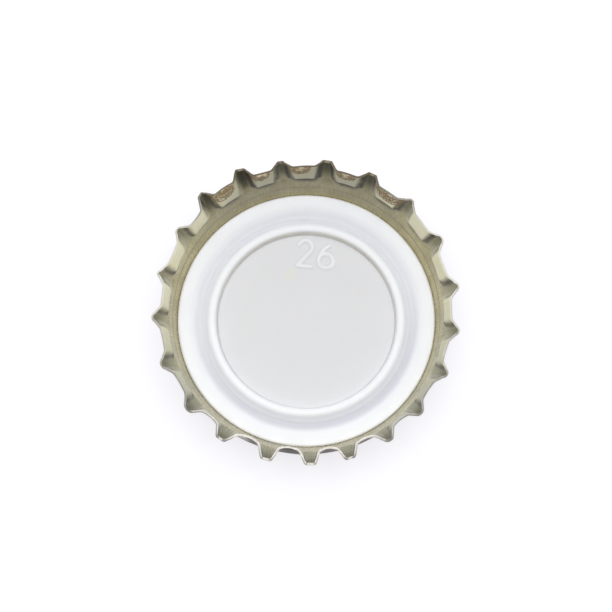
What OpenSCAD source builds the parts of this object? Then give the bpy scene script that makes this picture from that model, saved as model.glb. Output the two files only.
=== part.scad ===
// Crown cork lying on its outer face, open side up: a stamped sheet-metal crown with a fluted skirt,
// and a liner of soft white compound moulded into its floor.
// Millimetres. The origin is the middle of the panel's outer face, +Z points out of the open mouth.

/* [Crown] */
// Inside diameter of the cup beside the liner
cup_d = 26.75; // [21:0.05:33]
// Height from the panel to the rims of the flutes
crown_h = 6; // [4.8:0.05:8]
// Thickness of the sheet
sheet_t = 0.24; // [0.18:0.01:0.3]
// Outside radius of the bend between panel and skirt
bend_r = 1.75; // [1.4:0.05:2.1]
// Lean of the plain band of skirt under the flutes, from upright
skirt_lean = 20; // [8:1:26]

/* [Flutes] */
// Number of teeth, with a flute between each two
tooth_count = 21; // [17:1:24]
// Height of the crease where the flutes begin
crease_h = 3.6; // [2.8:0.05:4.2]
// Reach of the tooth tips beyond the inside of the cup
tooth_reach = 2.675; // [2.1:0.025:3.3]
// Drop of the tooth tips below the rims of the flutes
tip_drop = 0.3; // [0.1:0.05:0.8]
// Width of a tooth across its tip
tip_w = 0.66; // [0.5:0.02:1]
// Rounding of a tip, by how far its two corners fall back from its middle
tip_round = 0.12; // [0:0.02:0.2]
// Width of a tooth where it leaves the flutes at the rim
foot_w = 2.56; // [1.8:0.02:2.8]
// Width of a tooth at the crease
root_w = 2.7; // [2.1:0.02:3]
// Lean of a flute from its crease to its rim, from upright
flute_lean = 14; // [9:0.5:20]
// Lean of a flute just above its crease, from upright, below 0 where it starts inwards
flute_start_lean = -4; // [-8:0.5:8]
// Lean of a tooth just above the crease, from upright
tooth_start_lean = 30; // [22:1:38]
// Inward bow of a flute's rim between its two teeth
flute_bow = 0.3; // [0:0.02:0.4]
// Rounding of a flute's two lower corners, where the teeth spread at the crease
corner_w = 0.42; // [0:0.02:0.6]

/* [Liner] */
// Thickness of the membrane in the middle
membrane_t = 0.25; // [0.15:0.05:0.4]
// Distance from the inside of the cup in to the bottom of the groove
groove_in = 2.375; // [1.9:0.025:3]
// Distance from the groove's bottom in to the crest of the sealing bead
bead_in = 1.05; // [0.8:0.05:1.4]
// Distance from the bead's crest in to its foot on the membrane
foot_in = 0.6; // [0.45:0.05:0.8]
// Height of the bead above the panel's inner face
bead_h = 1.2; // [0.9:0.05:1.5]
// Radius of the rounding along the bead's crest
bead_round = 0.34; // [0.25:0.01:0.4]
// Height of the groove's bottom above the panel's inner face
groove_h = 0.52; // [0.4:0.02:0.7]
// Height of the liner's outer lip above the panel's inner face
lip_h = 1.1; // [0.9:0.02:1.25]
// Width and depth of the bevel along the outer lip's edge
lip_bevel = 0.2; // [0.1:0.01:0.3]
// Clearance between the liner's edge and the metal
liner_gap = 0.03; // [0.02:0.01:0.08]

/* [Hidden] */

bend_steps = 4; // rings round the bend
flute_steps = 5; // rings up the flutes
flank_steps = 4; // columns down each flank of a tooth
valley_steps = 2; // columns from a tooth's foot to the middle of its flute
half_columns = 1 + flank_steps + valley_steps;
tooth_columns = 2 * half_columns - 2;
columns = tooth_count * tooth_columns;
rings = bend_steps + 1 + flute_steps + 1;
flank_round = 0.95; // softness of a flank's two edges, from 0 to 1
corner_share = 0.3; // share of the height over which the lower corners are rounded
ring_crowding = 1.5; // gathers the rings of the flutes near the crease, evenly spread at 1
bend_share = 0.4; // how far up its line a flute or tooth keeps its first lean
valley_drop = 0.45; // share of the tip drop by which a rim sinks in the middle of its flute
probe = 0.001; // step for taking slopes

bead_inner_turn = 165; // where the bead's rounding starts on the membrane's side
bead_outer_turn = 40; // and where it ends on the groove's side
bead_steps = 10;
edge_steps = 12; // steps down the liner's edge, along the metal's bend
liner_facets = 252;

inner_bend_r = bend_r - sheet_t;
bend_centre_r = cup_d / 2 - inner_bend_r * cos(skirt_lean);
skirt_foot = [bend_centre_r + bend_r * cos(skirt_lean), bend_r - bend_r * sin(skirt_lean)];
crease = [skirt_foot[0] + (crease_h - skirt_foot[1]) * tan(skirt_lean), crease_h];
flute_top = crease + (crown_h - crease_h) * [tan(flute_lean), 1];
flute_turn = flute_top - bend_of(flute_top, flute_start_lean);
flute_rim = flute_top - [0, sheet_t * flute_turn[0] / norm(flute_turn)];
tooth_tip = [cup_d / 2 + tooth_reach, crown_h - tip_drop];
tooth_pitch = 360 / tooth_count;
half_pitch_w = PI * flute_rim[0] / tooth_count;

function mix(a, b, t) = a + (b - a) * t;
function ease(t) = let (c = min(max(t, 0), 1)) c * c * (3 - 2 * c);
function bezier(a, b, c, t) = (1 - t) * (1 - t) * a + 2 * t * (1 - t) * b + t * t * c;
function turned(p, angle) = [p[0] * cos(angle), p[0] * sin(angle), p[1]];
function arc(centre, radius, from, to, steps) =
    [for (i = [0 : steps]) let (a = mix(from, to, i / steps)) centre + radius * [cos(a), sin(a)]];

// A line of the skirt from the crease to its own rim, which sets off at start_lean.
function bend_of(end, start_lean) =
    crease + norm(end - crease) * bend_share * [sin(start_lean), cos(start_lean)];
function rise(end, start_lean, h) = bezier(crease, bend_of(end, start_lean), end, h);

// Distances from a tooth's middle to the columns on one side of it: tip, flank, flute.
half_stations = concat(
    [0],
    [for (i = [0 : flank_steps - 1]) mix(tip_w / 2, foot_w / 2, i / (flank_steps - 1))],
    [for (i = [1 : valley_steps]) mix(foot_w / 2, half_pitch_w, i / valley_steps)]
);
// Angle of every column, from the middle of the first tooth.
function column_angle(j) =
    let (
        tooth = floor(j / tooth_columns),
        place = j % tooth_columns,
        past_middle = place >= half_columns,
        station = half_stations[past_middle ? tooth_columns - place : place] / half_pitch_w / 2
    )
    tooth_pitch * (past_middle ? tooth + 1 - station : tooth + station);

// How much of a tooth stands at an angle, from 0 in a flute to 1 across a tip.
function tooth_share(angle, h) =
    let (
        turn = angle / tooth_pitch,
        off = abs(turn - round(turn)) * 2 * half_pitch_w,
        foot = mix(root_w, foot_w, ease(h)) / 2 + corner_w * pow(max(1 - h / corner_share, 0), 2),
        down = min(max((off - tip_w / 2) / (foot - tip_w / 2), 0), 1)
    )
    1 - mix(down, ease(down), flank_round);

// The outer face above the crease: h runs from 0 at the crease to 1 at the rim.
function flute_face(angle, h) =
    let (
        turn = angle / tooth_pitch,
        off = abs(turn - round(turn)) * 2,
        end = flute_rim + [flute_bow * pow(1 - off, 2), -tip_drop * valley_drop * pow(1 - off, 1.5)],
        from_tip = min(off * half_pitch_w / (tip_w / 2), 1.6),
        flute = rise(end, flute_start_lean, h),
        tooth = rise(tooth_tip - [tip_round * pow(from_tip, 2), 0], tooth_start_lean, h)
    )
    turned(mix(flute, tooth, tooth_share(angle, h)), angle);

// A column's point on ring i, at a depth into the sheet from its outer face.
function bend_point(i, angle, depth) =
    let (a = mix(-90, -skirt_lean, i / bend_steps), r = bend_r - depth)
    turned([bend_centre_r + r * cos(a), bend_r + r * sin(a)], angle);
function flute_point(i, angle, depth) =
    let (
        h = pow(i / flute_steps, ring_crowding),
        up = flute_face(angle, h + probe) - flute_face(angle, h - probe),
        round_it = flute_face(angle + probe, h) - flute_face(angle - probe, h),
        outwards = cross(round_it, up)
    )
    i == 0
        ? turned(crease - depth * [cos(skirt_lean), -sin(skirt_lean)], angle)
        : flute_face(angle, h) - depth * outwards / norm(outwards);
function ring_point(i, angle, depth) =
    i <= bend_steps ? bend_point(i, angle, depth) : flute_point(i - bend_steps - 1, angle, depth);

// Two triangles between neighbouring rings, a to b, leaning alike on both sides of each tooth.
function patch(a, b, j, flip) =
    let (
        k = (j + 1) % columns,
        near = [a + j, a + k],
        far = [b + j, b + k],
        right_half = j % tooth_columns < half_columns - 1,
        faces = right_half
            ? [[near[0], far[0], far[1]], [near[0], far[1], near[1]]]
            : [[near[0], far[0], near[1]], [near[1], far[0], far[1]]]
    )
    flip ? [for (f = faces) [f[2], f[1], f[0]]] : faces;

// Sheet-metal crown: flat panel, bend, plain band, and flutes pressed in between flared teeth.
module crown_shell() {
    inner = rings * columns;
    outer_centre = 2 * inner;
    inner_centre = outer_centre + 1;
    points = concat(
        [for (depth = [0, sheet_t], i = [0 : rings - 1], j = [0 : columns - 1])
            ring_point(i, column_angle(j), depth)],
        [[0, 0, 0], [0, 0, sheet_t]]
    );
    panel = [for (j = [0 : columns - 1]) let (k = (j + 1) % columns)
        each [[outer_centre, j, k], [inner_centre, inner + k, inner + j]]];
    walls = [for (i = [0 : rings - 2], j = [0 : columns - 1])
        each concat(
            patch(i * columns, (i + 1) * columns, j, false),
            patch(inner + i * columns, inner + (i + 1) * columns, j, true)
        )];
    rim = [for (j = [0 : columns - 1])
        each patch((rings - 1) * columns, inner + (rings - 1) * columns, j, false)];
    color([0.66, 0.64, 0.52]) polyhedron(points, concat(panel, walls, rim), convexity = 8);
}

// Liner: thin membrane, steep sealing bead, groove, and an outer lip that runs up to the metal.
module liner() {
    floor_z = sheet_t;
    outer_r = inner_bend_r - liner_gap;
    edge_turn = asin((floor_z + lip_h - lip_bevel - bend_r) / outer_r);
    groove_r = cup_d / 2 - groove_in;
    bead = [groove_r - bead_in, floor_z + bead_h - bead_round];
    membrane_r = bead[0] - foot_in;
    lip_r = bend_centre_r + outer_r * cos(edge_turn) - lip_bevel;
    profile = concat(
        [[0, floor_z], [0, floor_z + membrane_t], [membrane_r, floor_z + membrane_t]],
        arc(bead, bead_round, bead_inner_turn, bead_outer_turn, bead_steps),
        [[groove_r, floor_z + groove_h], [lip_r, floor_z + lip_h]],
        arc([bend_centre_r, bend_r], outer_r, edge_turn, -90, edge_steps)
    );
    color([0.93, 0.94, 0.95]) rotate_extrude($fn = liner_facets) polygon(profile);
}

crown_shell();
liner();
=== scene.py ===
import math
import bpy
import numpy as np
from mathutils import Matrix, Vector


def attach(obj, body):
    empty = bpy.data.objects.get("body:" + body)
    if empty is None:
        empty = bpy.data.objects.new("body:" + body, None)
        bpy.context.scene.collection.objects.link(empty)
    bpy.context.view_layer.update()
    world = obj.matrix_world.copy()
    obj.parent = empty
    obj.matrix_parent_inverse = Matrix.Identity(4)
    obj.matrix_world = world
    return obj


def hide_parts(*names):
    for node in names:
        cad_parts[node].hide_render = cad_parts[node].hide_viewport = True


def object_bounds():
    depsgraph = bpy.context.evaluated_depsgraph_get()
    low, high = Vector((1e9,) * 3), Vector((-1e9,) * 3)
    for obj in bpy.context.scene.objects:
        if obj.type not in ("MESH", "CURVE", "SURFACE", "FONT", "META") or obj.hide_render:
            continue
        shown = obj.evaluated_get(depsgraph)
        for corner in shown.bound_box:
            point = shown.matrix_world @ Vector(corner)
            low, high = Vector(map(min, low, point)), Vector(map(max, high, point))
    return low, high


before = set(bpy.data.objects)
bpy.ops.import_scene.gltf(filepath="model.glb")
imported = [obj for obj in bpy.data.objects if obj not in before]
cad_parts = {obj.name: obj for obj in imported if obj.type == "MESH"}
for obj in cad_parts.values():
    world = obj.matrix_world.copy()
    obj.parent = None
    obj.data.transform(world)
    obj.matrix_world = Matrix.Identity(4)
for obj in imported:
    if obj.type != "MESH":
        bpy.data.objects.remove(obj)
cadLow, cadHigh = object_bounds()
mm = 0.001


class Field:
    # a node socket that can be added, multiplied and so on, in shader and geometry trees alike
    def __init__(self, tree, socket):
        self.tree, self.socket = tree, socket

    def __add__(self, other):
        return maths(self.tree, "ADD", self, other)

    def __sub__(self, other):
        return maths(self.tree, "SUBTRACT", self, other)

    def __mul__(self, other):
        return maths(self.tree, "MULTIPLY", self, other)

    def __truediv__(self, other):
        return maths(self.tree, "DIVIDE", self, other)

    def __rsub__(self, other):
        return maths(self.tree, "SUBTRACT", other, self)

    __radd__ = __add__
    __rmul__ = __mul__

    def apply(self, operation, *others):
        return maths(self.tree, operation, self, *others)


def plug(tree, socket, value):
    if isinstance(value, Field):
        tree.links.new(value.socket, socket)
    else:
        socket.default_value = value


def maths(tree, operation, *values):
    node = tree.nodes.new("ShaderNodeMath")
    node.operation = operation
    for place, value in enumerate(values):
        plug(tree, node.inputs[place], value)
    return Field(tree, node.outputs[0])


def limited(value, low=0.0, high=1.0):
    return value.apply("MAXIMUM", low).apply("MINIMUM", high)


def eased(value):
    flat = limited(value)
    return flat * flat * (3.0 - 2.0 * flat)


def blended(a, b, share):
    return a + (b - a) * share


def bezier(a, b, c, t):
    back = 1.0 - t
    return a * back * back + 2.0 * b * t * back + c * t * t


def addSockets(tree, direction, sockets):
    # sockets: name -> (type, value)
    made = {}
    for name, (kind, value) in sockets.items():
        socket = tree.interface.new_socket(name=name, in_out=direction, socket_type=kind)
        if value is not None:
            socket.default_value = value
        made[name] = socket
    return made


crown = {  # millimetres and degrees, the same construction as the shell in the frame
    "teeth": 21,
    "cup radius": 13.375,
    "height": 6.0,
    "sheet": 0.24,
    "bend radius": 1.75,
    "skirt lean": 20.0,
    "crease height": 3.6,
    "tooth reach": 2.675,
    "tip drop": 0.3,
    "tip width": 0.66,
    "tip rounding": 0.12,
    "rim drop": 0.15,  # how far the rims stay under the full height
    "valley drop": 0.45,  # share of the tip drop by which a rim sinks in the middle of its flute
    "bend share": 0.4,  # how far up its line a flute or tooth keeps its first lean
    "foot width": 2.56,
    "root width": 2.7,
    "flute lean": 14.0,
    "flute start lean": -4.0,
    "tooth start lean": 30.0,
    "flute bow": 0.3,
    "flank softness": 0.95,
    "corner": 0.42,  # rounding of a flute's two lower corners
    "corner share": 0.26,  # and how far up the flute it goes
    "widest": 15.99,  # reach that no tooth passes, apart from the bent ones
    # what handling and pressing did to this one
    "rim lean": -0.04,  # how far the rims stand out at the back and in at the front, here the other way
    "back bow": -0.2,  # those at the back are straighter
    "back lift": 0.1,  # with their teeth higher
    "front bow": 0.9,  # and those in front are bowed
    "front press": 0.94,  # and pushed in
    "front tuck": 0.07,  # together with the wall under them
    "front spread": 0.55,  # between wider teeth
    "sway": 2.33,  # how far the teeth are swept round, twice in a turn
    "sway direction": 121.4,
    "crowding": 1.16,  # and once in a turn
    "oval": 0.011,  # share of the radius by which it is wider along one line and narrower across it
    "oval direction": 90.0,
    "bulge": 1.05,  # two neighbouring teeth bent out, each by about half of this
    "bulge rim": 0.5,  # and the rim between them
    "bulge room": 0.9,  # how far past the widest reach its middle may go
    "bulge narrowness": 60.0,  # higher is narrower
    "bulge direction": 128.5,
    "lift start": 0.8,  # height from which the skirt gives way
    "lift height": 4.5,  # and over which it comes to give way fully
    "tuck height": 2.8,  # the same for the tuck in front
    "tooth scatter": 0.8,
    "reach scatter": 0.09,
    "rim scatter": 0.1,
    "bow scatter": 0.1,
    "dip scatter": 0.04,
    "width scatter": 0.18,
    "dent": 0.05,
    "seed": 4,
}
meshing = {"panel rows": 3, "bend rows": 8, "band rows": 4, "flute rows": 26, "columns": 36}


def shellTree(name, sizes, rows):
    tree = bpy.data.node_groups.new(name, "GeometryNodeTree")
    sockets = {}
    for key, value in sizes.items():
        kind = "NodeSocketInt" if isinstance(value, int) else "NodeSocketFloat"
        sockets[key] = (kind, value)
    sockets["Material"] = ("NodeSocketMaterial", None)
    addSockets(tree, "INPUT", sockets)
    addSockets(tree, "OUTPUT", {"Geometry": ("NodeSocketGeometry", None)})
    groupIn = tree.nodes.new("NodeGroupInput")
    groupOut = tree.nodes.new("NodeGroupOutput")
    size = {key: Field(tree, groupIn.outputs[key]) for key in sizes}

    rowCount = sum(rows[key] for key in ("panel rows", "bend rows", "band rows", "flute rows"))
    grid = tree.nodes.new("GeometryNodeMeshGrid")
    grid.inputs["Size X"].default_value = 1.0
    grid.inputs["Size Y"].default_value = 1.0
    plug(tree, grid.inputs["Vertices X"], size["teeth"] * float(rows["columns"]) + 1.0)
    grid.inputs["Vertices Y"].default_value = rowCount + 1
    place = tree.nodes.new("GeometryNodeInputPosition")
    split = tree.nodes.new("ShaderNodeSeparateXYZ")
    tree.links.new(place.outputs[0], split.inputs[0])
    turn = (Field(tree, split.outputs[0]) + 0.5) * size["teeth"]  # in teeth, once round
    climb = ((Field(tree, split.outputs[1]) + 0.5) * float(rowCount)).apply("ROUND")

    rad = math.pi / 180
    lean = size["skirt lean"] * rad
    startFlute, startTooth = size["flute start lean"] * rad, size["tooth start lean"] * rad
    bendRadius = size["bend radius"]
    innerBend = bendRadius - size["sheet"]
    bendCentre = size["cup radius"] - innerBend * lean.apply("COSINE")
    footR = bendCentre + bendRadius * lean.apply("COSINE")
    footZ = bendRadius - bendRadius * lean.apply("SINE")
    creaseZ = size["crease height"]
    creaseR = footR + (creaseZ - footZ) * lean.apply("TANGENT")

    # panel, bend and band, from the middle out to the crease
    onPanel = limited(climb / float(rows["panel rows"]))
    onBend = limited((climb - float(rows["panel rows"])) / float(rows["bend rows"]))
    onBand = limited((climb - float(rows["panel rows"] + rows["bend rows"])) / float(rows["band rows"]))
    bendTurn = blended(-math.pi / 2, lean * -1.0, onBend)
    plainR = bendCentre * onPanel + bendRadius * bendTurn.apply("COSINE") + (creaseR - footR) * onBand
    plainZ = bendRadius * (bendTurn.apply("SINE") + 1.0) + (creaseZ - footZ) * onBand

    # where a column stands among the teeth, and what is particular to its tooth and its flute
    h = limited((climb - float(rowCount - rows["flute rows"])) / float(rows["flute rows"]))
    tooth = (turn + 0.5).apply("FLOOR")
    off = turn - tooth
    away = off.apply("ABSOLUTE") * 2.0
    middle = 1.0 - away
    rimR0 = creaseR + (size["height"] - creaseZ) * (size["flute lean"] * rad).apply("TANGENT")
    halfPitch = math.pi * rimR0 / size["teeth"]
    # ids just above whole numbers, so that the change to an integer is certain
    toothId = tooth.apply("MODULO", size["teeth"]) + 0.1
    fluteId = turn.apply("FLOOR").apply("MODULO", size["teeth"]) + 0.1

    def scatter(index, amount, extraSeed):
        node = tree.nodes.new("FunctionNodeRandomValue")
        node.data_type = "FLOAT"
        inputs = {socket.name: socket for socket in node.inputs if socket.enabled}
        inputs["Min"].default_value, inputs["Max"].default_value = -1.0, 1.0
        plug(tree, inputs["ID"], index)
        plug(tree, inputs["Seed"], size["seed"] * 10.0 + float(extraSeed))
        output = [socket for socket in node.outputs if socket.enabled][0]
        return Field(tree, output) * amount

    angle0 = turn / size["teeth"] * (2 * math.pi)
    inFront = (angle0.apply("SINE") * -1.0).apply("MAXIMUM", 0.0)
    inBack = angle0.apply("SINE").apply("MAXIMUM", 0.0)
    tipSpread = 1.0 + scatter(toothId, size["width scatter"], 1) + size["front spread"] * inFront * inFront
    tipHalf = size["tip width"] / 2.0 * tipSpread
    corner = limited(1.0 - h / size["corner share"])
    footHalf = blended(size["root width"], size["foot width"], eased(h)) / 2.0
    footHalf = footHalf + corner * corner * size["corner"]
    down = limited((away * halfPitch - tipHalf) / (footHalf - tipHalf))
    share = 1.0 - blended(down, eased(down), size["flank softness"])

    def rise(endR, endZ, startLean):
        # a line of the skirt from the crease to its own rim
        run = ((endR - creaseR).apply("POWER", 2.0) + (endZ - creaseZ).apply("POWER", 2.0)).apply("SQRT")
        turnR = creaseR + run * size["bend share"] * startLean.apply("SINE")
        turnZ = creaseZ + run * size["bend share"] * startLean.apply("COSINE")
        return bezier(creaseR, turnR, endR, h), bezier(creaseZ, turnZ, endZ, h)

    fluteBow = size["flute bow"] + scatter(fluteId, size["bow scatter"], 2)
    fluteBow = fluteBow + size["front bow"] * inFront * inFront
    fluteBow = fluteBow + size["back bow"] * inBack * inBack
    endR = rimR0 + fluteBow * middle * middle + scatter(fluteId, size["rim scatter"], 3)
    endR = endR + size["rim lean"] * angle0.apply("SINE") - size["front press"] * inFront.apply("POWER", 3.5)
    towardsBulge = (angle0 - size["bulge direction"] * rad).apply("COSINE").apply("MAXIMUM", 0.0)
    bulge = towardsBulge.apply("POWER", size["bulge narrowness"])
    endR = endR + bulge * size["bulge rim"]
    sag = size["tip drop"] * size["valley drop"] * middle.apply("POWER", 1.5)
    dip = scatter(fluteId, size["dip scatter"], 4).apply("ABSOLUTE")
    endZ = size["height"] - size["rim drop"] - sag - dip
    fluteR, fluteZ = rise(endR, endZ, startFlute)
    reachLoss = scatter(toothId, size["reach scatter"], 5).apply("ABSOLUTE") * (1.0 - bulge)
    fromMiddle = (away * halfPitch / tipHalf).apply("MINIMUM", 1.6)
    reachLoss = reachLoss + size["tip rounding"] * fromMiddle * fromMiddle
    tipR = size["cup radius"] + size["tooth reach"] - reachLoss + size["bulge"] * bulge
    tipZ = size["height"] - size["tip drop"] + scatter(toothId, size["reach scatter"], 6)
    tipZ = tipZ + size["back lift"] * inBack * inBack
    toothR, toothZ = rise(tipR, tipZ, startTooth)
    started = h.apply("GREATER_THAN", 0.0)
    r = plainR + started * (blended(fluteR, toothR, share) - creaseR)
    z = plainZ + started * (blended(fluteZ, toothZ, share) - creaseZ)
    tuckRise = eased((z - size["lift start"]) / size["tuck height"])
    r = r - size["front tuck"] * inFront.apply("POWER", 4.0) * tuckRise * (1.0 - h)

    # the skirt is swept and pressed a little out of round as it rises
    lift = eased((z - size["lift start"]) / size["lift height"])
    aim = (angle0 - size["oval direction"] * rad) * 2.0
    sweep = ((angle0 - size["sway direction"] * rad) * 2.0).apply("SINE") * size["sway"]
    sweep = sweep + angle0.apply("COSINE") * size["crowding"]
    shift = scatter(toothId, size["tooth scatter"] * rad, 7) * eased(middle * 1.15)
    angle = angle0 + lift * (shift - sweep * rad)
    noise = tree.nodes.new("ShaderNodeTexNoise")
    noise.inputs["Scale"].default_value = 1.3
    noise.inputs["Detail"].default_value = 1.0
    around = tree.nodes.new("ShaderNodeCombineXYZ")
    plug(tree, around.inputs[0], angle0.apply("COSINE") * 5.0)
    plug(tree, around.inputs[1], angle0.apply("SINE") * 5.0)
    plug(tree, around.inputs[2], climb * 0.05)
    tree.links.new(around.outputs[0], noise.inputs["Vector"])
    dents = (Field(tree, noise.outputs[0]) - 0.5) * 2.0 * size["dent"]
    r = r * (1.0 + lift * size["oval"] * aim.apply("COSINE")) + lift * dents
    r = r.apply("MINIMUM", size["widest"] + bulge * size["bulge room"])

    where = tree.nodes.new("ShaderNodeCombineXYZ")
    plug(tree, where.inputs[0], r * angle.apply("COSINE") * mm)
    plug(tree, where.inputs[1], r * angle.apply("SINE") * mm)
    plug(tree, where.inputs[2], z * mm)
    # marks for the finishes: how near a point is to the folds, at the foot of a flute or down a tooth's
    # flank, for the painted shade in them
    fluteHeight = size["height"] - creaseZ
    atFoot = limited(1.0 - (z - creaseZ - 0.14).apply("ABSOLUTE") / 0.42) * (1.0 - share)
    taper = 1.0 - limited(h - 0.25)
    inset, spread = 0.5 - inBack * 0.24, 0.56 - inBack * 0.22  # nearer the tooth's middle at the sides
    atFlank = limited(1.0 - (away * halfPitch - footHalf + inset).apply("ABSOLUTE") / (spread * taper))
    # painted shade: flanks that face forwards lie in shade, and at the back both do
    facing = limited(off.apply("SIGN") * angle0.apply("COSINE") * 1.2 + inBack * 1.15)
    shade = 0.25 + facing * (0.85 - inBack * 0.15)
    atFlank = atFlank * limited(h * 5.0 + 0.5) * (0.55 + taper * 0.45) * shade
    atFlank = atFlank * (1.0 - h * 0.75 * (1.0 - inBack))
    onFlank = limited(1.2 - (down - 0.45).apply("ABSOLUTE") * 2.2) * limited(h * 3.5) * facing
    onFlank = onFlank * (0.62 + inBack * 0.2 - inFront * 0.12)
    farFlank = limited(1.0 - (down - 0.6).apply("ABSOLUTE") / 0.3) * limited(h * 2.5 - 0.2) * 0.55
    onFlank = onFlank.apply("MAXIMUM", farFlank)
    flankShade = started * atFlank.apply("MAXIMUM", onFlank)
    foldShade = (atFoot * limited(inBack * 2.4 - 0.9)).apply("MAXIMUM", flankShade)
    # and how deep in its flute's worn patch, which hangs from the rim
    across = (turn - turn.apply("FLOOR") - 0.5) * 2.0 * halfPitch - scatter(fluteId, 0.4, 11)
    fromRim = (1.0 - h) * fluteHeight * 1.2
    patch = 1.0 - (across * across + fromRim * fromRim).apply("SQRT") / (1.4 + scatter(fluteId, 0.4, 12))
    last = grid.outputs["Mesh"]
    marks = {"riseShare": h, "toothShare": share * started, "foldShadeShare": foldShade, "patchShare": limited(patch)}
    for attribute, value in marks.items():
        keep = tree.nodes.new("GeometryNodeStoreNamedAttribute")
        keep.data_type, keep.domain = "FLOAT", "POINT"
        keep.inputs["Name"].default_value = attribute
        tree.links.new(last, keep.inputs["Geometry"])
        plug(tree, keep.inputs["Value"], value)
        last = keep.outputs[0]
    settle = tree.nodes.new("GeometryNodeSetPosition")
    tree.links.new(last, settle.inputs["Geometry"])
    tree.links.new(where.outputs[0], settle.inputs["Position"])

    merge = tree.nodes.new("GeometryNodeMergeByDistance")
    merge.inputs["Distance"].default_value = 0.000002
    realize = tree.nodes.new("GeometryNodeRealizeInstances")
    paint = tree.nodes.new("GeometryNodeSetMaterial")
    tree.links.new(settle.outputs[0], merge.inputs["Geometry"])
    tree.links.new(merge.outputs[0], realize.inputs[0])
    tree.links.new(realize.outputs[0], paint.inputs["Geometry"])
    tree.links.new(groupIn.outputs["Material"], paint.inputs["Material"])
    tree.links.new(paint.outputs[0], groupOut.inputs[0])
    return tree


def setInput(modifier, name, value):
    for item in modifier.node_group.interface.items_tree:
        if item.item_type == "SOCKET" and item.in_out == "INPUT" and item.name == name:
            modifier[item.identifier] = value


def plainMesh(obj, name):
    # the evaluated object as a mesh of its own, with every modifier gone
    graph = bpy.context.evaluated_depsgraph_get()
    graph.update()
    finished = obj.evaluated_get(graph)
    mesh = bpy.data.meshes.new_from_object(finished, preserve_all_data_layers=True, depsgraph=graph)
    mesh.name = name
    obj.modifiers.clear()
    obj.data = mesh


def newObject(name, mesh):
    obj = bpy.data.objects.new(name, mesh)
    bpy.context.scene.collection.objects.link(obj)
    return obj


def makeCrown(outside, inside, cut):
    obj = newObject("crown", bpy.data.meshes.new("crown"))
    grow = obj.modifiers.new("flutes", "NODES")
    grow.node_group = shellTree("flutedSkirt", crown, meshing)
    for name, value in crown.items():
        setInput(grow, name, value)
    setInput(grow, "Material", outside)
    plainMesh(obj, "crown")
    obj.data.materials.clear()
    for material in (outside, inside, cut):
        obj.data.materials.append(material)
    for polygon in obj.data.polygons:
        polygon.use_smooth = True
    wall = obj.modifiers.new("sheet", "SOLIDIFY")
    wall.thickness = crown["sheet"] * mm
    wall.offset = -1.0
    wall.use_even_offset = True
    wall.use_quality_normals = True
    wall.material_offset = 1
    wall.material_offset_rim = 2
    soften = obj.modifiers.new("cut edge", "BEVEL")
    soften.width = 0.035 * mm
    soften.segments = 2
    soften.limit_method = "ANGLE"
    soften.angle_limit = math.radians(55)
    plainMesh(obj, "crown")
    return obj


liner = {  # millimetres
    "columns": 150,  # round the plain part
    "number columns": 110,  # more where the number stands
    "number reach": 19.0,  # degrees each side of straight up
    # the upper face as radius and height, from the middle of the membrane to the metal
    "outline": [
        (0.0, 0.49), (5.2, 0.49), (8.9, 0.49), (9.18, 0.49),
        (9.23, 0.56), (9.26, 0.82), (9.31, 1.12), (9.42, 1.33), (9.66, 1.43),
        (9.94, 1.43), (10.18, 1.33), (10.4, 1.1), (10.62, 0.88), (10.9, 0.77),
        (11.2, 0.8), (11.62, 0.95), (12.1, 1.15), (12.65, 1.28), (13.0, 1.32), (13.21, 1.3), (13.34, 1.19),
    ],
    "number band": (5.0, 8.9),  # radii between which the rings are fine, for the number
    "bead foot": 9.05,  # and from which they are fine again
    "fine ring": 0.045,
    "coarse ring": 0.8,
    "bend centre": (11.956, 1.75),
    "bend radius": 1.48,
    "floor": 0.24,
    "number middle": (0.33, 7.2),
    "digit height": 2.75,
    "digit width": 1.5,
    "digit gap": 0.74,
    "stroke": 0.21,  # half the width of a raised stroke
    "stroke height": 0.12,
}


def smoothLine(points, step):
    # a curve through the points, in steps of about one length
    knots = [Vector((x, y, 0.0)) for x, y in points]
    line = []
    for k in range(len(knots) - 1):
        a, b = knots[k], knots[k + 1]
        before = knots[k - 1] if k else a
        after = knots[k + 2] if k + 2 < len(knots) else b
        count = max(1, round((b - a).length / step(a.x)))
        longest = 3 * (b - a).length  # beside a longer stretch than this the curve would overshoot
        straight = (b - before).length > longest or (after - a).length > longest
        tangentA, tangentB = (b - before) / 2, (after - a) / 2
        for i in range(count):
            t = i / count
            if straight:
                line.append(a.lerp(b, t))
                continue
            t2, t3 = t * t, t * t * t
            point = (2 * t3 - 3 * t2 + 1) * a + (t3 - 2 * t2 + t) * tangentA
            line.append(point + (3 * t2 - 2 * t3) * b + (t3 - t2) * tangentB)
    line.append(knots[-1])
    return [(p.x, p.y) for p in line]


def arcLine(centre, radius, start, end, steps=24):
    turns = [math.radians(start + (end - start) * i / steps) for i in range(steps + 1)]
    return [(centre[0] + radius * math.cos(t), centre[1] + radius * math.sin(t)) for t in turns]


def digitStrokes(width, height):
    # a 2 and a 6 as lines of points, each from its own lower left corner
    bow = width * 0.47
    two = arcLine((width * 0.5, height - bow), bow, 165, -38)
    two += [(0.02 * width, 0.0), (width, 0.0)]
    bowl = arcLine((width * 0.5, width * 0.5), width * 0.5, 0, 360, 40)
    spine = arcLine((width * 1.22, width * 0.5), width * 1.22, 180, 118)
    return [[two], [bowl, spine]]


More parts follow.
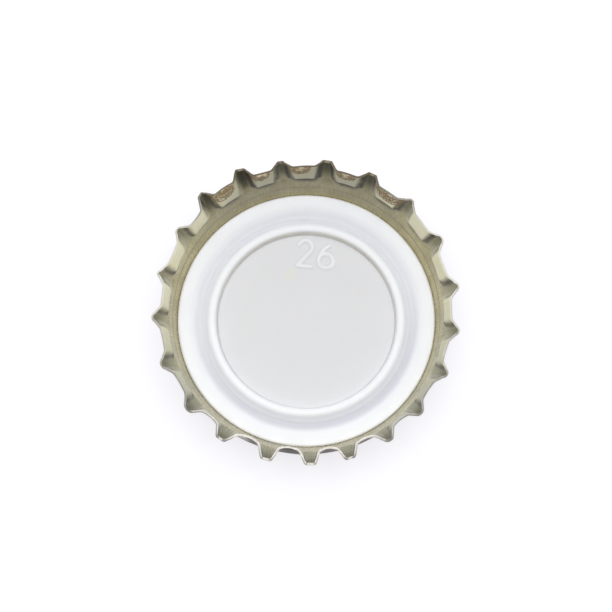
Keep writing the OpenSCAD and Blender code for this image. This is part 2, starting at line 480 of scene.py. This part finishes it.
def reliefOver(points, sizes):
    # how high the number stands above the membrane at each of the points
    width, height, gap = sizes["digit width"], sizes["digit height"], sizes["digit gap"]
    left = sizes["number middle"][0] - width - gap / 2
    low = sizes["number middle"][1] - height / 2
    nearest = np.full(len(points), 9.0)
    for place, digit in enumerate(digitStrokes(width, height)):
        for stroke in digit:
            line = np.array(stroke) + (left + place * (width + gap), low)
            for a, b in zip(line[:-1], line[1:]):
                along = b - a
                t = np.clip(((points - a) @ along) / max(along @ along, 1e-9), 0, 1)
                nearest = np.minimum(nearest, np.linalg.norm(points - a - t[:, None] * along, axis=1))
    rest = np.clip(1 - nearest / (sizes["stroke"] * 1.5), 0, 1)
    return sizes["stroke height"] * rest * rest * (3 - 2 * rest)


def ringSpacing(r):
    low, high = liner["number band"]
    fine = low <= r < high or liner["bead foot"] <= r
    return liner["fine ring"] if fine else liner["coarse ring"]


def makeLiner(material):
    reach = math.radians(liner["number reach"])
    top = math.pi / 2
    fine = np.linspace(top - reach, top + reach, liner["number columns"], endpoint=False)
    rest = np.linspace(top + reach, top - reach + 2 * math.pi, liner["columns"], endpoint=False)
    turns = np.concatenate([fine, rest])
    outline = smoothLine(liner["outline"], ringSpacing)[1:]
    centre, radius = liner["bend centre"], liner["bend radius"]
    lastR, lastZ = outline[-1]
    startTurn = math.degrees(math.atan2(lastZ - centre[1], lastR - centre[0]))
    under = arcLine(centre, radius, startTurn, -90, 10)[1:]
    under = [(r, max(z, liner["floor"])) for r, z in under]
    profile = np.array(outline + under)
    count = len(turns)
    xy = profile[:, None, 0, None] * np.stack([np.cos(turns), np.sin(turns)], axis=1)[None]
    z = np.repeat(profile[:, 1, None], count, axis=1)
    z[: len(outline)] += reliefOver(xy[: len(outline)].reshape(-1, 2), liner).reshape(len(outline), count)
    points = np.concatenate([xy, z[..., None]], axis=2).reshape(-1, 3)
    middles = [(0, 0, liner["outline"][0][1]), (0, 0, liner["floor"])]
    points = np.concatenate([points, middles]) * mm
    faces = []
    for i in range(len(profile) - 1):
        for j in range(count):
            k = (j + 1) % count
            faces.append((i * count + j, (i + 1) * count + j, (i + 1) * count + k, i * count + k))
    upper, lower, lastRow = len(points) - 2, len(points) - 1, (len(profile) - 1) * count
    for j in range(count):
        k = (j + 1) % count
        faces.append((upper, j, k))
        faces.append((lower, lastRow + k, lastRow + j))
    mesh = bpy.data.meshes.new("sealing_liner")
    mesh.from_pydata([tuple(p) for p in points], [], faces)
    for polygon in mesh.polygons:
        polygon.use_smooth = True
    mesh.materials.append(material)
    mesh.validate()
    return newObject("sealing_liner", mesh)


def newMaterial(name):
    material = bpy.data.materials.new(name)
    material.use_nodes = True
    return material, material.node_tree, material.node_tree.nodes["Principled BSDF"]


def colourMix(tree, share, a, b):
    node = tree.nodes.new("ShaderNodeMix")
    node.data_type = "RGBA"
    plug(tree, node.inputs[0], share)
    plug(tree, node.inputs[6], a)
    plug(tree, node.inputs[7], b)
    return Field(tree, node.outputs[2])


def objectPlace(tree):
    # place on the piece in millimetres
    coordinate = tree.nodes.new("ShaderNodeTexCoord")
    mapping = tree.nodes.new("ShaderNodeMapping")
    mapping.inputs["Scale"].default_value = (1000, 1000, 1000)
    tree.links.new(coordinate.outputs["Object"], mapping.inputs["Vector"])
    return Field(tree, mapping.outputs[0])


def separate(tree, vector):
    node = tree.nodes.new("ShaderNodeSeparateXYZ")
    tree.links.new(vector.socket, node.inputs[0])
    return [Field(tree, output) for output in node.outputs]


def noiseOf(tree, vector, scale, detail=3.0, roughness=0.5):
    node = tree.nodes.new("ShaderNodeTexNoise")
    tree.links.new(vector.socket, node.inputs["Vector"])
    plug(tree, node.inputs["Scale"], scale)
    node.inputs["Detail"].default_value = detail
    node.inputs["Roughness"].default_value = roughness
    return Field(tree, node.outputs[0])


def ranged(tree, value, low, high, toLow=0.0, toHigh=1.0, smooth=True):
    node = tree.nodes.new("ShaderNodeMapRange")
    node.interpolation_type = "SMOOTHSTEP" if smooth else "LINEAR"
    for place, item in enumerate((value, low, high, toLow, toHigh)):
        plug(tree, node.inputs[place], item)
    return Field(tree, node.outputs[0])


def attributeOf(tree, name):
    node = tree.nodes.new("ShaderNodeAttribute")
    node.attribute_name = name
    return Field(tree, node.outputs["Fac"])


def bumpInto(tree, shader, height, strength, distance):
    bump = tree.nodes.new("ShaderNodeBump")
    bump.inputs["Strength"].default_value = strength
    bump.inputs["Distance"].default_value = distance
    plug(tree, bump.inputs["Height"], height)
    tree.links.new(bump.outputs[0], shader.inputs["Normal"])


def makeGroup(name, inputs, outputs, fill):
    # a shared effect: fill(tree, in fields) gives its outputs by name
    tree = bpy.data.node_groups.new(name, "ShaderNodeTree")
    addSockets(tree, "INPUT", inputs)
    addSockets(tree, "OUTPUT", outputs)
    groupIn, groupOut = tree.nodes.new("NodeGroupInput"), tree.nodes.new("NodeGroupOutput")
    made = fill(tree, {key: Field(tree, groupIn.outputs[key]) for key in inputs})
    for key, value in made.items():
        tree.links.new(value.socket, groupOut.inputs[key])
    return tree


def useGroup(tree, group, **values):
    node = tree.nodes.new("ShaderNodeGroup")
    node.node_tree = group
    for key, value in values.items():
        plug(tree, node.inputs[key], value)
    return {socket.name: Field(tree, socket) for socket in node.outputs}


def fillStreaks(tree, given):
    # lines drawn up the wall, even all the way round
    x, y, z = separate(tree, given["Place"])
    r = (x * x + y * y).apply("SQRT") + 0.001
    node = tree.nodes.new("ShaderNodeCombineXYZ")
    plug(tree, node.inputs[0], x / r * given["Density"])
    plug(tree, node.inputs[1], y / r * given["Density"])
    plug(tree, node.inputs[2], z * given["Run"])
    line = noiseOf(tree, Field(tree, node.outputs[0]), 1.0, 4.0, 0.6)
    return {"Value": line, "Height": ranged(tree, line, 0.35, 0.7)}


def fillSpeckle(tree, given):
    # small separate flecks, thicker where a slow noise is high
    fine = noiseOf(tree, given["Place"], given["Scale"], 2.0)
    slow = noiseOf(tree, given["Place"], given["Scale"] * 0.12, 2.0)
    level = fine + (slow - 0.5) * 0.5
    return {"Mask": ranged(tree, level, 1.0 - given["Amount"], 1.08 - given["Amount"])}


def fillRust(tree, given):
    # a bloom of rust: brown film, darker pits and pale grains inside the given area
    slow = noiseOf(tree, given["Place"], 0.9, 3.0, 0.6)
    fine = noiseOf(tree, given["Place"], 7.0, 3.0, 0.7)
    film = ranged(tree, slow * 0.9 + fine * 0.45 + given["Area"] * 0.4, 0.92, 1.12)
    grain = ranged(tree, noiseOf(tree, given["Place"], 11.0, 2.0, 0.6), 0.56, 0.66) * film
    brown = colourMix(tree, fine, (0.17, 0.115, 0.055, 1), (0.46, 0.33, 0.18, 1))
    colour = colourMix(tree, grain, brown, (0.72, 0.58, 0.42, 1))
    return {"Mask": film, "Colour": colour, "Height": film * 0.5 + fine * film * 0.5}


def makeEffects():
    number, vector, colour = "NodeSocketFloat", "NodeSocketVector", "NodeSocketColor"
    return {
        "streaks": makeGroup(
            "drawnStreaks",
            {"Place": (vector, None), "Density": (number, 60.0), "Run": (number, 0.25)},
            {"Value": (number, None), "Height": (number, None)},
            fillStreaks,
        ),
        "speckle": makeGroup(
            "fineSpeckle",
            {"Place": (vector, None), "Scale": (number, 6.0), "Amount": (number, 0.3)},
            {"Mask": (number, None)},
            fillSpeckle,
        ),
        "rust": makeGroup(
            "rustBloom",
            {"Place": (vector, None), "Area": (number, 0.0)},
            {"Mask": (number, None), "Colour": (colour, None), "Height": (number, None)},
            fillRust,
        ),
    }


ringLineHeight = 2.5  # of the fine crease line round the plain band, painted as shade, in millimetres
crownColours = {  # where there are two, the finish wanders from one to the other
    "band": ((0.43, 0.375, 0.19, 1), (0.56, 0.50, 0.28, 1)),
    "shaded band": (0.27, 0.25, 0.18, 1),
    # paler, where the metal was stretched, and lightened as a painted highlight
    "flute": ((0.97, 0.92, 0.62, 1), (1.0, 0.965, 0.71, 1)),
    "shaded flute": (0.28, 0.27, 0.20, 1),
    "tooth": (0.54, 0.52, 0.38, 1),
    "beside the liner": (0.45, 0.39, 0.19, 1),
    "near side": (0.24, 0.25, 0.19, 1),
    "ring crease shade": (0.17, 0.16, 0.09, 1),
    "streak": (0.34, 0.31, 0.21, 1),
    "fleck": (0.26, 0.22, 0.13, 1),
    "channelShade": (0.12, 0.12, 0.09, 1),
    "tip": (0.11, 0.095, 0.06, 1),
    "foldShade": (0.056, 0.043, 0.027, 1),
    "worn through": (0.96, 0.84, 0.60, 1),
    "brown": ((0.050, 0.031, 0.024, 1), (0.080, 0.050, 0.040, 1)),
    "tin": ((0.42, 0.40, 0.37, 1), (0.66, 0.64, 0.60, 1)),
    "cut edge": ((0.74, 0.72, 0.64, 1), (0.92, 0.90, 0.83, 1)),
    "far edge shade": (0.16, 0.135, 0.085, 1),
    "near edge": (0.44, 0.42, 0.385, 1),
}
crownSides = {  # direction round the cap, from the right towards the back, and reach each way, in degrees
    "shaded band": (97.0, 62.0),
    "shaded flutes": (98.0, 44.0),
    "worn flutes": (94.0, 50.0),
    "near side": (275.0, 110.0),
    "scraped flute": (243.0, 11.0),
    "far edge shade": (98.0, 62.0),
    "near edge": (275.0, 105.0),
}


def sideShare(tree, place, direction, spread):
    # 1 on the side of the cap that faces the direction in degrees, 0 away from it
    x, y = separate(tree, place)[:2]
    r = (x * x + y * y).apply("SQRT") + 0.001
    towards = (x * math.cos(math.radians(direction)) + y * math.sin(math.radians(direction))) / r
    return ranged(tree, towards, math.cos(math.radians(spread)), math.cos(math.radians(spread * 0.4)))


def wornPatches(tree, place, patch, effects):
    # under the rims the lacquer is worn through: a dotted brown ring round a pale middle
    ragged = noiseOf(tree, place, 1.6, 3.0, 0.6)
    raggedEdge = (ragged - 0.5) * 0.7 * ranged(tree, patch, 0.0, 0.2)
    worn = limited(patch + raggedEdge) * sideShare(tree, place, *crownSides["worn flutes"])
    rust = useGroup(tree, effects["rust"], Place=place, Area=worn)
    dots = ranged(tree, noiseOf(tree, place, 6.5, 2.0, 0.6) + worn * 0.25, 0.43, 0.56)
    ring = ranged(tree, worn, 0.0, 0.12) * dots
    middle = ranged(tree, worn + (ragged - 0.5) * 0.8, 0.42, 0.78) * 0.9
    colour = colourMix(tree, middle, rust["Colour"], crownColours["worn through"])
    return ring.apply("MAXIMUM", middle), colour, rust["Height"]


def insideLacquer(effects):
    material, tree, shader = newMaterial("goldLacquerInside")
    paint = crownColours
    place = objectPlace(tree)
    streak = useGroup(tree, effects["streaks"], Place=place, Density=70.0, Run=0.3)
    speckle = useGroup(tree, effects["speckle"], Place=place, Scale=5.0, Amount=0.36)
    mottle = noiseOf(tree, place, 0.5, 3.0)
    names = ("riseShare", "toothShare", "foldShadeShare", "patchShare")
    rise, tooth, foldShade, patch = (limited(attributeOf(tree, name)) for name in names)
    z = separate(tree, place)[2]
    onFlute = ranged(tree, rise, 0.0, 0.16) * (1.0 - tooth)
    onTooth = ranged(tree, rise, 0.0, 0.2) * tooth
    back = sideShare(tree, place, *crownSides["shaded band"])
    near = sideShare(tree, place, *crownSides["near side"])
    # olive gold on the plain band, paler where the flutes stretched it and lightened there as a painted
    # highlight, duller on the teeth
    band = colourMix(tree, ranged(tree, mottle, 0.35, 0.65), *paint["band"])
    # painted shade: the band on the far side is darker
    band = colourMix(tree, back * 0.6, band, paint["shaded band"])
    paleWithHighlight = colourMix(tree, ranged(tree, mottle, 0.3, 0.7), *paint["flute"])
    # painted shade: the flutes on the far side are darker too
    shaded = sideShare(tree, place, *crownSides["shaded flutes"]) * 0.55
    paleWithHighlight = colourMix(tree, shaded, paleWithHighlight, paint["shaded flute"])
    gold = colourMix(tree, onFlute, band, paleWithHighlight)
    gold = colourMix(tree, onTooth * (0.8 - back * 0.5), gold, paint["tooth"])
    low = 1.0 - ranged(tree, z, 1.45, 1.75)
    gold = colourMix(tree, low * (0.7 - near * 0.4), gold, paint["beside the liner"])
    gold = colourMix(tree, near * (0.25 + onTooth * 0.2 + onFlute * 0.35), gold, paint["near side"])
    # painted shade along the fine crease round the band, then the drawn streaks and the flecks
    line = 1.0 - ranged(tree, (z - ringLineHeight).apply("ABSOLUTE"), 0.04, 0.15)
    line = line * ranged(tree, mottle, 0.2, 0.5) * (0.75 - back * 0.4)
    gold = colourMix(tree, line, gold, paint["ring crease shade"])
    drawn = ranged(tree, streak["Value"], 0.42, 0.72) * (0.26 - onFlute * 0.25)
    gold = colourMix(tree, drawn, gold, paint["streak"])
    gold = colourMix(tree, speckle["Mask"] * (0.3 - onFlute * 0.22), gold, paint["fleck"])
    # painted shade down the teeth, darker tips on the near teeth, and the darkest painted shade in the folds
    channelShade = ranged(tree, tooth, 0.3, 0.9) * ranged(tree, rise, 0.15, 0.7)
    gold = colourMix(tree, channelShade * (0.15 + back * 0.72), gold, paint["channelShade"])
    tips = ranged(tree, rise, 0.45, 0.85) * ranged(tree, tooth, 0.2, 0.8) * near
    gold = colourMix(tree, tips * 0.5, gold, paint["tip"])
    fray = (noiseOf(tree, place, 3.5, 3.0, 0.65) - 0.5) * 0.5 * ranged(tree, foldShade, 0.0, 0.3)
    raggedFoldShade = foldShade * (0.55 + mottle) + fray
    gold = colourMix(tree, ranged(tree, raggedFoldShade, 0.05, 1.0) * 0.92, gold, paint["foldShade"])
    worn, wornColour, wornHeight = wornPatches(tree, place, patch, effects)
    plug(tree, shader.inputs["Base Color"], colourMix(tree, worn, gold, wornColour))
    dull = worn.apply("MAXIMUM", foldShade * 0.5)
    muted = dull.apply("MAXIMUM", onFlute * 0.9)
    plug(tree, shader.inputs["Metallic"], ranged(tree, muted, 0.0, 1.0, 0.85, 0.1, False))
    rough = dull * 0.8 + streak["Value"] * 0.3 + onFlute * 0.3
    plug(tree, shader.inputs["Roughness"], ranged(tree, rough, 0.05, 0.9, 0.22, 0.7, False))
    shader.inputs["Coat Weight"].default_value = 0.25
    shader.inputs["Coat Roughness"].default_value = 0.2
    height = streak["Height"] * (0.25 - onFlute * 0.23) + wornHeight * worn
    bumpInto(tree, shader, height, 0.4, 0.02 * mm)
    return material


def outsideLacquer(effects):
    material, tree, shader = newMaterial("brownLacquerOutside")
    place = objectPlace(tree)
    streak = useGroup(tree, effects["streaks"], Place=place, Density=90.0, Run=0.2)
    speckle = useGroup(tree, effects["speckle"], Place=place, Scale=4.0, Amount=0.3)
    mottle = noiseOf(tree, place, 0.4, 3.0)
    rise, tooth = (limited(attributeOf(tree, name)) for name in ("riseShare", "toothShare"))
    brown = colourMix(tree, mottle, *crownColours["brown"])
    # handling has rubbed the teeth and their tips down to the tin
    handled = tooth * ranged(tree, rise, 0.3, 1.0) + noiseOf(tree, place, 2.2, 4.0, 0.65) * 0.9
    rubbed = ranged(tree, handled, 1.15, 1.4)
    rubbed = rubbed.apply("MAXIMUM", ranged(tree, rise, 0.965, 0.995) * 0.7)
    rubbed = rubbed.apply("MAXIMUM", speckle["Mask"] * 0.35)
    scuffed = noiseOf(tree, place, 1.1, 4.0, 0.75) + streak["Value"] * 0.35
    rubbed = rubbed.apply("MAXIMUM", ranged(tree, scuffed, 0.78, 0.92) * 0.45)
    # and one flute has been scraped bare
    scraped = sideShare(tree, place, *crownSides["scraped flute"]) * ranged(tree, rise, 0.0, 0.1)
    rubbed = rubbed.apply("MAXIMUM", scraped * ranged(tree, streak["Value"], 0.35, 0.6, 0.7, 1.0))
    tin = colourMix(tree, streak["Value"], *crownColours["tin"])
    plug(tree, shader.inputs["Base Color"], colourMix(tree, rubbed, brown, tin))
    plug(tree, shader.inputs["Metallic"], ranged(tree, rubbed, 0.0, 1.0, 0.15, 0.9, False))
    rough = streak["Value"] * 0.4 + rubbed * 0.5
    plug(tree, shader.inputs["Roughness"], ranged(tree, rough, 0.1, 0.8, 0.42, 0.58, False))
    shader.inputs["Specular IOR Level"].default_value = 0.22
    shader.inputs["Coat Weight"].default_value = 0.1
    shader.inputs["Coat Roughness"].default_value = 0.25
    bumpInto(tree, shader, streak["Height"] * 0.4 - rubbed * 0.6, 0.3, 0.015 * mm)
    return material


def cutMetal(effects):
    material, tree, shader = newMaterial("cutTinplate")
    paint = crownColours
    place = objectPlace(tree)
    speckle = useGroup(tree, effects["speckle"], Place=place, Scale=7.0, Amount=0.42)
    back = sideShare(tree, place, *crownSides["far edge shade"])
    area = back * 0.2 + speckle["Mask"] * 0.35
    rust = useGroup(tree, effects["rust"], Place=place, Area=area)
    bareAndShaded = colourMix(tree, noiseOf(tree, place, 5.0, 2.0), *paint["cut edge"])
    # painted shade: the cut edges on the far side are darkened
    bareAndShaded = colourMix(tree, back, bareAndShaded, paint["far edge shade"])
    uneven = ranged(tree, noiseOf(tree, place, 2.4, 3.0), 0.35, 0.6, 0.75, 1.0)
    near = sideShare(tree, place, *crownSides["near edge"]) * uneven
    bareAndShaded = colourMix(tree, near, bareAndShaded, paint["near edge"])
    plug(tree, shader.inputs["Base Color"], colourMix(tree, rust["Mask"], bareAndShaded, rust["Colour"]))
    plug(tree, shader.inputs["Metallic"], ranged(tree, rust["Mask"], 0.0, 1.0, 0.45, 0.2, False))
    plug(tree, shader.inputs["Roughness"], ranged(tree, rust["Mask"], 0.0, 1.0, 0.38, 0.8, False))
    bumpInto(tree, shader, rust["Height"], 0.3, 0.015 * mm)
    return material


linerColours = {
    "white": ((0.875, 0.89, 0.935, 1), (0.905, 0.92, 0.96, 1)),
    "membrane": ((0.675, 0.678, 0.695, 1), (0.735, 0.74, 0.758, 1)),
    "groove": ((0.70, 0.715, 0.765, 1), (0.575, 0.595, 0.655, 1)),
    "bead slope": (0.85, 0.87, 0.975, 1),
    "number": (0.84, 0.85, 0.87, 1),
    "shaded recess wall": (0.90, 0.88, 0.82, 1),
    "stain": (0.74, 0.72, 0.58, 1),
    "fleck": (0.5, 0.5, 0.5, 1),
}
linerSides = {  # as for the crown
    "groove": (285.0, 110.0),
    "shaded recess wall": (95.0, 100.0),
}


def linerCompound(effects):
    material, tree, shader = newMaterial("whiteCompound")
    paint = linerColours
    place = objectPlace(tree)
    x, y, z = separate(tree, place)
    r = (x * x + y * y).apply("SQRT")
    mottle = noiseOf(tree, place, 0.25, 3.0)
    speckle = useGroup(tree, effects["speckle"], Place=place, Scale=3.0, Amount=0.27)
    colour = colourMix(tree, mottle, *paint["white"])
    # the groove lies in shade, most of all on the near side, and so does the bead's outer slope
    inGroove = (1.0 - ranged(tree, z, 0.74, 1.08)) * ranged(tree, r, 10.35, 10.85)
    groove = colourMix(tree, sideShare(tree, place, *linerSides["groove"]), *paint["groove"])
    colour = colourMix(tree, inGroove * 0.9, colour, groove)
    slope = ranged(tree, r, 10.1, 10.3) * (1.0 - ranged(tree, r, 10.45, 10.8))
    colour = colourMix(tree, slope * 0.85, colour, paint["bead slope"])
    # the metal greys the thin membrane, but not the number on it
    thin = (1.0 - ranged(tree, z, 0.49, 0.7)) * (1.0 - ranged(tree, r, 9.24, 9.36))
    colour = colourMix(tree, thin, colour, colourMix(tree, mottle, *paint["membrane"]))
    raised = ranged(tree, z, 0.495, 0.56) * (1.0 - ranged(tree, r, 9.0, 9.15))
    colour = colourMix(tree, raised, colour, paint["number"])
    # painted shadow: the recess wall round the membrane is warmer and a little darker on the far side
    wall = ranged(tree, z, 0.5, 0.6) * ranged(tree, r, 9.05, 9.15) * (1.0 - ranged(tree, r, 9.3, 9.5))
    wall = wall * sideShare(tree, place, *linerSides["shaded recess wall"])
    colour = colourMix(tree, wall, colour, paint["shaded recess wall"])
    # a faint stain beside the number
    stainX, stainY = x + 2.2, y - 4.85
    stain = 1.0 - ranged(tree, (stainX * stainX + stainY * stainY).apply("SQRT"), 0.1, 0.9)
    colour = colourMix(tree, stain * 0.35, colour, paint["stain"])
    colour = colourMix(tree, speckle["Mask"] * 0.06, colour, paint["fleck"])
    plug(tree, shader.inputs["Base Color"], colour)
    plug(tree, shader.inputs["Roughness"], ranged(tree, mottle, 0.3, 0.7, 0.34, 0.46, False))
    shader.inputs["Subsurface Weight"].default_value = 0.25
    shader.inputs["Subsurface Radius"].default_value = (1.0, 1.0, 1.0)
    shader.inputs["Subsurface Scale"].default_value = 0.4 * mm
    bumpInto(tree, shader, noiseOf(tree, place, 6.0, 2.0), 0.15, 0.01 * mm)
    return material


stage = {
    "floor half": 0.6,
    "floor gap": 0.00001,  # below the crown, so that the two faces don't meet
    "floor colour": (0.25, 0.25, 0.255, 1),
    "floor glow": 0.80,
    "glow colour": (0.975, 0.965, 1, 1),
    "top power": 2.12,
    "top size": (0.52, 0.46),
    "top place": (-0.01, 0.015, 0.50),
    "sky": 0.64,
    "horizon": 1.6,
    "front share": 0.13,  # of the sky's light that comes from the camera's side
    "back side": (0.05, 1.0),  # the way to the back
}


def makeFloor():
    half = stage["floor half"]
    mesh = bpy.data.meshes.new("floor")
    corners = [(-half, -half, 0), (half, -half, 0), (half, half, 0), (-half, half, 0)]
    mesh.from_pydata(corners, [], [(0, 1, 2, 3)])
    floor = newObject("floor", mesh)
    floor.location.z = cadLow.z - stage["floor gap"]
    material, tree, shader = newMaterial("paleFloor")
    shader.inputs["Base Color"].default_value = stage["floor colour"]
    shader.inputs["Roughness"].default_value = 0.9
    glow = tree.nodes.new("ShaderNodeEmission")
    glow.inputs["Color"].default_value = stage["glow colour"]
    add = tree.nodes.new("ShaderNodeAddShader")
    path = tree.nodes.new("ShaderNodeLightPath")
    rays = Field(tree, path.outputs["Is Camera Ray"])
    for other in ("Is Glossy Ray", "Is Transmission Ray"):
        rays = rays.apply("MAXIMUM", Field(tree, path.outputs[other]))
    plug(tree, glow.inputs["Strength"], rays * stage["floor glow"])
    output = tree.nodes["Material Output"]
    tree.links.new(shader.outputs[0], add.inputs[0])
    tree.links.new(glow.outputs[0], add.inputs[1])
    tree.links.new(add.outputs[0], output.inputs["Surface"])
    mesh.materials.append(material)


def makeLamp(name, power, size, place):
    lamp = bpy.data.lights.new(name, "AREA")
    lamp.shape = "RECTANGLE"
    lamp.size, lamp.size_y = size
    lamp.energy = power
    obj = bpy.data.objects.new(name, lamp)
    obj.location = place
    obj.rotation_mode = "QUATERNION"
    obj.rotation_quaternion = (-Vector(place)).to_track_quat("-Z", "Y")
    bpy.context.scene.collection.objects.link(obj)


def makeSky():
    world = bpy.data.worlds.new("studio")
    bpy.context.scene.world = world
    world.use_nodes = True
    tree = world.node_tree
    tree.nodes.clear()
    soft = tree.nodes.new("ShaderNodeBackground")
    white = tree.nodes.new("ShaderNodeBackground")
    white.inputs["Strength"].default_value = 1.0
    path = tree.nodes.new("ShaderNodeLightPath")
    direction = tree.nodes.new("ShaderNodeTexCoord")
    x, y, z = separate(tree, Field(tree, direction.outputs["Generated"]))
    height = ranged(tree, z, 0.0, 0.8, stage["horizon"], 1.0)
    towardsBack = x * stage["back side"][0] + y * stage["back side"][1]
    side = ranged(tree, towardsBack, -0.6, 0.4, stage["front share"], 1.0)
    plug(tree, soft.inputs["Strength"], height * side * stage["sky"])
    mix = tree.nodes.new("ShaderNodeMixShader")
    plug(tree, mix.inputs[0], Field(tree, path.outputs["Is Camera Ray"]))
    tree.links.new(soft.outputs[0], mix.inputs[1])
    tree.links.new(white.outputs[0], mix.inputs[2])
    out = tree.nodes.new("ShaderNodeOutputWorld")
    tree.links.new(mix.outputs[0], out.inputs[0])


camera = {  # degrees and metres
    "azimuth": 5.2,
    "elevation": 77.5,
    "distance": 0.30,
    "view width": 0.0630,
    "aim": (-0.00012, 0.00095, 0.0035),
}


def makeCamera():
    a, e = math.radians(camera["azimuth"]), math.radians(camera["elevation"])
    back = Vector((math.sin(a) * math.cos(e), -math.cos(a) * math.cos(e), math.sin(e)))
    data = bpy.data.cameras.new("camera")
    data.sensor_width = 36.0
    data.lens = data.sensor_width * camera["distance"] / camera["view width"]
    data.clip_start, data.clip_end = 0.01, 10
    obj = bpy.data.objects.new("camera", data)
    obj.rotation_mode = "QUATERNION"
    obj.location = Vector(camera["aim"]) + back * camera["distance"]
    obj.rotation_quaternion = (-back).to_track_quat("-Z", "Y")
    bpy.context.scene.collection.objects.link(obj)
    bpy.context.scene.camera = obj


makeCamera()
print("camera placed")
effects = makeEffects()
crownPiece = makeCrown(outsideLacquer(effects), insideLacquer(effects), cutMetal(effects))
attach(crownPiece, "root")
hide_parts("crown_shell")
print("crown made:", len(crownPiece.data.polygons), "faces")
linerPiece = makeLiner(linerCompound(effects))
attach(linerPiece, "root")
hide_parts("liner")
print("liner made:", len(linerPiece.data.polygons), "faces")
makeFloor()
makeLamp("overhead", stage["top power"], stage["top size"], stage["top place"])
makeSky()
bpy.context.scene.view_settings.view_transform = "Standard"
print("stage and light set")
